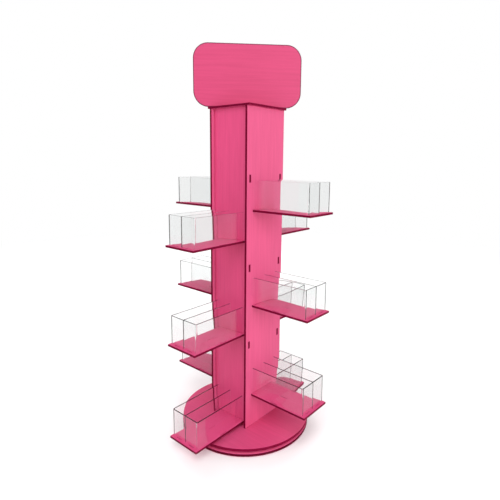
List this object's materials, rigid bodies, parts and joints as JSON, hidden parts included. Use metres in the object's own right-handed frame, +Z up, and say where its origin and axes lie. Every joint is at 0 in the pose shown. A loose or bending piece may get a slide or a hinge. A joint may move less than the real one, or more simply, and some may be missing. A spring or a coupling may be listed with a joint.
{
  "type": "rotating display rack",
  "caption": "Rotating countertop card rack: round base on a ball bearing, square hollow column, shelves with clear divided fences on every side, rounded header board.",
  "frame": {"origin": "on the standing surface, under the rack's turning axis", "axes": "+Z up along the turning axis; at rest +X is the outward normal of the right-hand column panel and -Y that of the front column panel"},
  "size_m": [0.454, 0.452, 0.989],
  "materials": {
    "painted_board": "pink painted sheet, satin, with darker crimson cut edges",
    "clear_acrylic": "clear polished sheet",
    "bearing_steel": "bright zinc-plated",
    "cage_plastic": "matte",
    "foot_rubber": "matte"
  },
  "bodies": {
    "base": {"rubber_feet": "foot_rubber", "base_disc": "painted_board", "bearing_outer_ring": "bearing_steel", "bearing_screws_lower": "bearing_steel"},
    "rotor": {"bearing_inner_ring": "bearing_steel", "bearing_screws_upper": "bearing_steel", "turntable_disc": "painted_board", "column_panel_right": "painted_board", "column_panel_left": "painted_board", "column_panel_front": "painted_board", "column_panel_back": "painted_board", "shelf_board_cross_low": "painted_board", "shelf_board_deep_low": "painted_board", "shelf_board_cross_middle": "painted_board", "shelf_board_deep_middle": "painted_board", "shelf_board_cross_high": "painted_board", "shelf_board_deep_high": "painted_board", "fence_right_low": "clear_acrylic", "fence_back_low": "clear_acrylic", "fence_left_low": "clear_acrylic", "fence_front_low": "clear_acrylic", "fence_right_middle": "clear_acrylic", "fence_back_middle": "clear_acrylic", "fence_left_middle": "clear_acrylic", "fence_front_middle": "clear_acrylic", "fence_right_high": "clear_acrylic", "fence_back_high": "clear_acrylic", "fence_left_high": "clear_acrylic", "fence_front_high": "clear_acrylic", "divider_right_low": "clear_acrylic", "divider_back_low": "clear_acrylic", "divider_left_low": "clear_acrylic", "divider_front_low": "clear_acrylic", "divider_right_middle": "clear_acrylic", "divider_back_middle": "clear_acrylic", "divider_left_middle": "clear_acrylic", "divider_front_middle": "clear_acrylic", "divider_right_high": "clear_acrylic", "divider_back_high": "clear_acrylic", "divider_left_high": "clear_acrylic", "divider_front_high": "clear_acrylic", "top_plate": "painted_board", "header_board": "painted_board"},
    "ball_cage": {"bearing_cage": "cage_plastic", "bearing_balls": "bearing_steel"}
  },
  "joints": [
    {"name": "turntable_spin", "type": "hinge", "parent": "base", "child": "rotor", "pos_m": [0, 0, 0.0135], "axis": [0, 0, 1], "continuous": true},
    {"name": "cage_spin", "type": "hinge", "parent": "base", "child": "ball_cage", "pos_m": [0, 0, 0.0135], "axis": [0, 0, 1], "continuous": true}
  ],
  "couplings": [
    {"joint": "cage_spin", "follows": "turntable_spin", "ratio": 0.47917}
  ]
}
